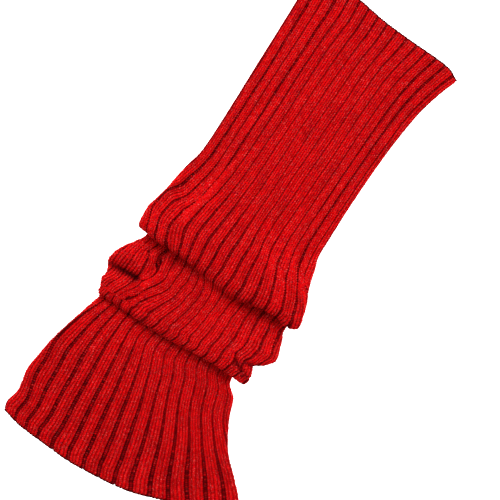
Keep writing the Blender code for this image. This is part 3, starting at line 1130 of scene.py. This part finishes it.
@dataclass
class KnitStitches:
    """The knit side's stitches: two leaning legs each, two wales on every rib."""

    cloth: Cloth
    courses: int = 270
    under_courses: int = 200
    lean: float = 0.44
    lean_spread: float = 0.25
    leg_length: float = 0.92
    leg_width: float = 0.5
    leg_height: float = 0.42
    under_height: float = 0.36
    size_spread: float = 0.09
    side_thinning: float = 0.45
    edge_gap: float = 0.003
    most_height: float = 2.1
    most_apart: float = 2.7
    shown_above: float = -0.6
    tone_streak: float = 0.22
    tone_spread: float = 0.32
    streak: int = 12
    streak_past: float = 0.3
    streak_shade: float = 0.2
    upper_bead: tuple[int, int] = (6, 3)
    under_bead: tuple[int, int] = (5, 3)
    round_left: int = 2
    upper_splits: tuple[int, int] = (4, 10)
    under_split: int = 22
    lines: LegLines = field(default_factory=LegLines)

    def streaks(self, rng: np.random.Generator, courses: int, lines: int) -> np.ndarray:
        """Uneven streaks along each line of legs, a few stitches long."""
        walk = np.cumsum(rng.standard_normal((courses + self.streak, lines)), axis=0)
        return (walk[self.streak:] - walk[:-self.streak]) / math.sqrt(self.streak)

    def legs(self, ribs: list[int], on_top: bool, seed: int) -> Beads:
        """The legs on some of the ribs.

        Args:
            ribs: Which ribs, counted round the tube.
            on_top: Whether they belong to the upper layer.
            seed: Seed of the small differences between the legs.

        Returns:
            The legs.
        """
        rng = np.random.default_rng(seed)
        tube = self.cloth.tube
        even = Courses.on_face(tube)
        courses = self.courses if on_top else self.under_courses
        way = np.linspace(self.edge_gap, 1 - self.edge_gap, courses)
        if not on_top:
            way = even.ways_like(Courses(tube, (-tube.half,)), way)
        around = self.cloth.ribbing.spots(way, self.lines)
        per = len(self.lines.shares)
        chosen = [rib * per + line for rib in ribs for line in range(per)]
        around = Around(*(part[:, chosen] for part in around))
        points, _, out = self.cloth.spread(around, way[:, None], even.passed(around.place, way[:, None]))
        along, across, height = course_frames(points, out)
        height = np.minimum(height, self.most_height)
        legs = points.reshape(courses, len(ribs), per, 3)
        between = np.linalg.norm(legs[:, :, 1:] - legs[:, :, :-1], axis=-1)
        sides = between[..., :1], (between[..., 1:] + between[..., :-1]) / 2, between[..., -1:]
        apart = np.minimum(np.concatenate(sides, axis=-1).reshape(courses, -1), self.most_apart)
        leans = np.tile(self.lines.leans, len(ribs))[None, :]
        angle = self.lean * leans * (1 + self.lean_spread * rng.standard_normal(height.shape))
        turned = unit(along * np.cos(angle)[..., None] - across * np.sin(angle)[..., None])
        beside = unit(np.cross(turned, out))
        bigger = 1 + self.size_spread * rng.standard_normal(height.shape)
        thick = self.leg_height if on_top else self.under_height
        size = np.stack([
            apart * self.leg_width * bigger,
            height * self.leg_length * bigger / math.cos(self.lean),
            apart * thick * bigger * (1 - self.side_thinning * np.sin(around.turn) ** 2),
        ], axis=-1)
        shown = (out[..., 2] > self.shown_above) if on_top else np.ones(height.shape, bool)
        tone = 0.5 + self.tone_streak * self.streaks(rng, *height.shape)
        tone = tone + self.tone_spread * rng.standard_normal(height.shape)
        # Painted shade: some streaks along each line are darkened at random, over the valleys' and troughs'
        # painted light
        sunk = np.clip(self.streaks(rng, *height.shape) - self.streak_past, 0, 1)
        light = around.light * tube.lightness(points) * (1 - self.streak_shade * sunk)
        return Beads(
            points[shown], beside[shown], turned[shown], unit(np.cross(beside, turned))[shown],
            size[shown], np.clip(tone, 0, 1)[shown], light[shown],
        )

    def build(self, material: bpy.types.Material) -> list[bpy.types.Object]:
        """Every stitch round the tube, in a few pieces of like size.

        Args:
            material: The stitches' finish.

        Returns:
            The pieces.
        """
        fine, plain = bead(*self.upper_bead), bead(*self.under_bead)
        front, ribs = self.cloth.ribbing.front, self.cloth.ribbing.ribs
        left, right = self.upper_splits
        last_under = ribs - self.round_left
        groups = (
            ("stitches_upper_left", [*range(last_under, ribs), *range(left)], True),
            ("stitches_upper_middle", [*range(left, right)], True),
            ("stitches_upper_right", [*range(right, front + 1)], True),
            ("stitches_under_right", [*range(front + 1, self.under_split)], False),
            ("stitches_under_left", [*range(self.under_split, last_under)], False),
        )
        made = []
        for seed, (name, chosen, on_top) in enumerate(groups):
            mesh = join_beads(name, fine if on_top else plain, self.legs(chosen, on_top, seed))
            made.append(mesh_object(name, mesh, material))
        return made


@dataclass
class PurlBars:
    """The purl side's short bars, one above the other in the valleys that open between the ribs."""

    cloth: Cloth
    courses: int = 270
    least_width: float = 0.9
    bar_width: float = 0.62
    bar_height: float = 0.6
    bar_rise: float = 0.36
    size_spread: float = 0.12
    shown_above: float = -0.35
    tone: float = 0.4
    tone_spread: float = 0.35
    # Painted shade on the bars, which lie in the valleys
    light: float = 0.42
    light_spread: float = 0.25
    facets: tuple[int, int] = (5, 3)
    seed: int = 31
    lines: ValleyLines = field(default_factory=ValleyLines)

    def build(self, material: bpy.types.Material) -> bpy.types.Object:
        """The bars of the upper layer's open valleys.

        Args:
            material: The bars' finish.

        Returns:
            The piece.
        """
        rng = np.random.default_rng(self.seed)
        ribbing, tube = self.cloth.ribbing, self.cloth.tube
        way = (np.arange(self.courses) + 0.5) / self.courses
        count = ribbing.front + 1
        around = Around(*(part[:, :count] for part in ribbing.spots(way, self.lines)))
        _, width = ribbing.valleys(way)
        passed = Courses.on_face(tube).passed(around.place, way[:, None])
        points, _, out = self.cloth.spread(around, way[:, None], passed)
        along, across, height = course_frames(points, out)
        pitch = np.linalg.norm(np.diff(points, axis=1), axis=-1)
        pitch = np.concatenate([pitch, pitch[:, -1:]], axis=1)
        open_width = width[:, :count] * pitch
        shown = (open_width > self.least_width) & (out[..., 2] > self.shown_above) & (around.turn == 0)
        vary = 1 + self.size_spread * rng.standard_normal(height.shape)
        size = np.stack([open_width * self.bar_width, height * self.bar_height,
                         np.full(height.shape, self.bar_rise)], axis=-1) * vary[..., None]
        tone = np.clip(self.tone + self.tone_spread * rng.standard_normal(height.shape), 0, 1)
        # Painted shade: the bars' light for their colour, spread at random
        light = self.light * (1 + self.light_spread * rng.standard_normal(height.shape))
        bars = Beads(points[shown], across[shown], along[shown], out[shown], size[shown],
                     tone[shown], light[shown])
        return mesh_object("purl_bars", join_beads("purl_bars", bead(*self.facets), bars), material)


@dataclass
class EdgeLoops:
    """The looped edges at the mouth and the hem, where the knitting starts and is cast off."""

    cloth: Cloth
    loop_width: float = 0.62
    loop_height: float = 0.62
    loop_rise: float = 0.55
    size_spread: float = 0.1
    tilt: float = 0.45
    tilt_spread: float = 0.3
    inward: float = 0.18
    beyond: float = 0.7
    hem_gap: float = 1e-6
    # Painted shade on the loops, which darkens the rims at the mouth and the hem
    light: float = 0.26
    facets: tuple[int, int] = (6, 4)
    seed: int = 41
    lines: LegLines = field(default_factory=LegLines)

    def build(self, material: bpy.types.Material) -> bpy.types.Object:
        """One loop for each leg's line, leaning along the edge, all round both ends.

        Args:
            material: The loops' finish.

        Returns:
            The piece.
        """
        rng = np.random.default_rng(self.seed)
        way = np.array([0.0, 1.0])
        around = self.cloth.ribbing.spots(way, self.lines)
        passed = np.where(way[:, None] > 0, len(Run) - self.hem_gap, 0.0) * np.ones_like(around.place)
        points, down, out = self.cloth.spread(around, way[:, None], passed, self.inward)
        beyond = np.where(way > 0, 1.0, -1.0)[:, None, None] * down
        points = points + beyond * self.beyond
        around_edge = unit(np.roll(points, -1, axis=1) - np.roll(points, 1, axis=1))
        pitch = np.linalg.norm(np.roll(points, -1, axis=1) - points, axis=-1)
        angle = self.tilt * (1 + self.tilt_spread * rng.standard_normal(pitch.shape))
        turned = unit(around_edge * np.cos(angle)[..., None] + out * np.sin(angle)[..., None])
        side = unit(np.cross(turned, beyond))
        vary = 1 + self.size_spread * rng.standard_normal(pitch.shape)
        size = np.stack([np.full(pitch.shape, self.loop_height), pitch * self.loop_width * vary,
                         np.full(pitch.shape, self.loop_rise)], axis=-1)
        placed = [part.reshape(-1, 3) for part in (points, side, turned, beyond, size)]
        count = around.place.size
        # Painted shade: every loop gets the same low light value
        loops = Beads(*placed, rng.random(count), np.full(count, self.light))
        return mesh_object("edge_loops", join_beads("edge_loops", bead(*self.facets), loops), material)


class Grain(NamedTuple):
    """A noise in the yarn's colour: its scale and detail, and the two values that it is spread between."""

    scale: float
    detail: float
    low: float
    high: float


class FinishNodes:
    """A new material and its nodes, with short ways to add to them."""

    def __init__(self, name: str) -> None:
        """Starts a material with its own shader."""
        self.material = bpy.data.materials.new(name)
        self.material.use_nodes = True
        self.nodes, self.links = self.material.node_tree.nodes, self.material.node_tree.links
        self.shader = self.nodes["Principled BSDF"]
        self.place = self.nodes.new("ShaderNodeTexCoord")

    def attribute(self, name: str) -> bpy.types.NodeSocket:
        """A number that is stored on the mesh's points.

        Args:
            name: The attribute's name.

        Returns:
            The number.
        """
        made = self.nodes.new("ShaderNodeAttribute")
        made.attribute_name = name
        return made.outputs["Fac"]

    def noise(self, scale: float, detail: float) -> bpy.types.NodeSocket:
        """A noise on the piece's own points.

        Args:
            scale: How fine it is.
            detail: How many finer noises are added.

        Returns:
            The noise's value.
        """
        made = self.nodes.new("ShaderNodeTexNoise")
        made.inputs["Scale"].default_value = scale
        made.inputs["Detail"].default_value = detail
        self.links.new(self.place.outputs["Object"], made.inputs["Vector"])
        return made.outputs["Fac"]

    def spread(self, value: bpy.types.NodeSocket, low: float, high: float) -> bpy.types.NodeSocket:
        """A value spread smoothly between two of its own.

        Args:
            value: The value.
            low: Where the result is 0.
            high: Where the result is 1.

        Returns:
            The result.
        """
        made = self.nodes.new("ShaderNodeMapRange")
        made.interpolation_type = "SMOOTHSTEP"
        made.inputs["From Min"].default_value = low
        made.inputs["From Max"].default_value = high
        self.links.new(value, made.inputs["Value"])
        return made.outputs["Result"]

    def grain(self, grain: Grain) -> bpy.types.NodeSocket:
        """A grain of the yarn, from 0 to 1."""
        return self.spread(self.noise(grain.scale, grain.detail), grain.low, grain.high)

    def mix(self, amount: bpy.types.NodeSocket, a: object, b: object) -> bpy.types.NodeSocket:
        """One colour going over into another.

        Args:
            amount: How much of the second there is.
            a: The first colour, as numbers or a socket.
            b: The second colour, as numbers or a socket.

        Returns:
            The colour.
        """
        made = self.nodes.new("ShaderNodeMix")
        made.data_type = "RGBA"
        self.links.new(amount, made.inputs["Factor"])
        for socket, colour in ((made.inputs["A"], a), (made.inputs["B"], b)):
            if isinstance(colour, tuple):
                socket.default_value = (*colour, 1.0)
            else:
                self.links.new(colour, socket)
        return made.outputs["Result"]


@dataclass(frozen=True)
class YarnFinish:
    """The red yarn: fine fibres, small pale and purple flecks, and painted shade that darkens it where the
    pieces' light attribute is low, as in the valleys between the ribs.
    """

    name: str
    lit: tuple[float, float, float] = (0.68, 0.0015, 0.0025)
    body: tuple[float, float, float] = (0.48, 0.0015, 0.0015)
    shaded: tuple[float, float, float] = (0.42, 0.0005, 0.001)
    # The painted shade's colour, which the yarn goes over into where its light attribute is low
    deep: tuple[float, float, float] = (0.04, 0.0, 0.001)
    fleck: tuple[float, float, float] = (0.84, 0.13, 0.12)
    dark_fleck: tuple[float, float, float] = (0.22, 0.0, 0.02)
    clouds: Grain = Grain(90.0, 3.0, 0.35, 0.65)
    flecks: Grain = Grain(1600.0, 2.0, 0.57, 0.78)
    dark_flecks: Grain = Grain(1150.0, 2.0, 0.60, 0.72)
    tone_range: tuple[float, float] = (-0.3, 1.1)
    light_range: tuple[float, float] = (0.0, 0.95)
    fibres: tuple[float, float] = (2600.0, 3.0)
    fibre_strength: float = 0.35
    fibre_height: float = 0.2
    roughness: float = 0.95
    specular: float = 0.02
    sheen: float = 0.03
    sheen_roughness: float = 0.5
    sheen_tint: tuple[float, float, float] = (1.0, 0.1, 0.1)
    reads_tone: bool = True

    def make(self) -> bpy.types.Material:
        """The material, from nodes that read the piece's own points and attributes.

        Returns:
            The material.
        """
        made = FinishNodes(self.name)
        inputs = made.shader.inputs
        inputs["Roughness"].default_value = self.roughness
        inputs["Specular IOR Level"].default_value = self.specular
        inputs["Sheen Weight"].default_value = self.sheen
        inputs["Sheen Roughness"].default_value = self.sheen_roughness
        inputs["Sheen Tint"].default_value = (*self.sheen_tint, 1.0)
        colour = made.mix(made.grain(self.clouds), self.shaded, self.body)
        if self.reads_tone:
            colour = made.mix(made.spread(made.attribute("tone"), *self.tone_range), colour, self.lit)
        colour = made.mix(made.grain(self.flecks), colour, self.fleck)
        colour = made.mix(made.grain(self.dark_flecks), colour, self.dark_fleck)
        # Painted shade: mixes in the deep colour as the light attribute falls
        colour = made.mix(made.spread(made.attribute("light"), *self.light_range), self.deep, colour)
        made.links.new(colour, inputs["Base Color"])
        bump = made.nodes.new("ShaderNodeBump")
        bump.inputs["Strength"].default_value = self.fibre_strength
        bump.inputs["Distance"].default_value = self.fibre_height * MM
        made.links.new(made.noise(*self.fibres), bump.inputs["Height"])
        made.links.new(bump.outputs["Normal"], inputs["Normal"])
        return made.material


class SoftLight(NamedTuple):
    """A square soft light that faces the cloth: where it hangs, how wide it is, and its power."""

    name: str
    place: tuple[float, float, float]
    size: float
    power: float


@dataclass
class Studio:
    """The pale floor, the soft lights and the camera straight above, as the photograph has it."""

    centre: tuple[float, float] = (2.793, -1.032)
    width: float = 320.0
    roll: float = 30.73
    distance: float = 2200.0
    sight: float = 100000.0
    sensor: float = 36.0
    floor_size: float = 9000.0
    floor_colour: tuple[float, float, float] = (0.93, 0.93, 0.93)
    world_strength: float = 0.55
    key: SoftLight = SoftLight("key", (-520.0, 620.0, 1100.0), 700.0, 19.9)
    over_floor: SoftLight = SoftLight("floor_light", (0.0, 0.0, 2600.0), 3000.0, 260.0)

    def build(self, cloth_pieces: list[bpy.types.Object]) -> None:
        """Makes the floor, the lights, the world and the camera.

        Args:
            cloth_pieces: The pieces that the key light shines on; the floor has an even light of its own.
        """
        floor = self.make_floor()
        self.make_world()
        key, over_floor = self.make_light(self.key), self.make_light(self.over_floor)
        cloth, stage = (bpy.data.collections.new(name) for name in ("lit_by_key", "lit_for_floor"))
        for piece in cloth_pieces:
            cloth.objects.link(piece)
        stage.objects.link(floor)
        key.light_linking.receiver_collection = cloth
        over_floor.light_linking.receiver_collection = stage
        over_floor.light_linking.blocker_collection = stage
        self.make_camera()

    def make_floor(self) -> bpy.types.Object:
        """A wide plain floor at the height that the cloth lies on.

        Returns:
            The floor.
        """
        bm = bmesh.new()
        bmesh.ops.create_grid(bm, x_segments=1, y_segments=1, size=self.floor_size * MM / 2)
        mesh = bpy.data.meshes.new("floor")
        bm.to_mesh(mesh)
        bm.free()
        material = bpy.data.materials.new("pale_floor")
        material.use_nodes = True
        shader = material.node_tree.nodes["Principled BSDF"]
        shader.inputs["Base Color"].default_value = (*self.floor_colour, 1.0)
        shader.inputs["Roughness"].default_value = 1.0
        shader.inputs["Specular IOR Level"].default_value = 0.0
        mesh.materials.append(material)
        floor = bpy.data.objects.new("floor", mesh)
        bpy.context.scene.collection.objects.link(floor)
        return floor

    def make_world(self) -> None:
        """An even white surrounding."""
        world = bpy.data.worlds.new("studio")
        world.use_nodes = True
        background = world.node_tree.nodes["Background"]
        background.inputs["Color"].default_value = (1.0, 1.0, 1.0, 1.0)
        background.inputs["Strength"].default_value = self.world_strength
        bpy.context.scene.world = world
        bpy.context.scene.view_settings.view_transform = "Standard"

    def make_light(self, soft: SoftLight) -> bpy.types.Object:
        """Hangs one light so that it faces the cloth.

        Args:
            soft: What the light is.

        Returns:
            The light.
        """
        data = bpy.data.lights.new(soft.name, "AREA")
        data.size = soft.size * MM
        data.energy = soft.power
        light = bpy.data.objects.new(soft.name, data)
        light.location = [part * MM for part in soft.place]
        light.rotation_euler = (-light.location).to_track_quat("-Z", "Y").to_euler()
        bpy.context.scene.collection.objects.link(light)
        return light

    def make_camera(self) -> None:
        """A long lens straight above the middle of the photograph, rolled as the cloth lies in it."""
        data = bpy.data.cameras.new("camera")
        data.sensor_width = self.sensor
        data.lens = self.sensor * self.distance / self.width
        data.clip_end = self.sight * MM
        camera = bpy.data.objects.new("camera", data)
        camera.location = (self.centre[0] * MM, self.centre[1] * MM, self.distance * MM)
        camera.rotation_euler = (0.0, 0.0, math.radians(self.roll))
        bpy.context.scene.collection.objects.link(camera)
        bpy.context.scene.camera = camera


def main() -> None:
    """Builds the pieces in order."""
    logging.basicConfig(level=logging.INFO, format="%(name)s: %(message)s")
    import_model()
    cloth = Cloth()
    wall = CuffWall(cloth).build(YarnFinish("knit_wall", reads_tone=False).make())
    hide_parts(NODE)
    yarn = YarnFinish("knit_stitches").make()
    stitches = KnitStitches(cloth).build(yarn)
    stitches += [PurlBars(cloth).build(yarn), EdgeLoops(cloth).build(yarn)]
    Studio().build([wall, *stitches])


if __name__ == "__main__":
    main()
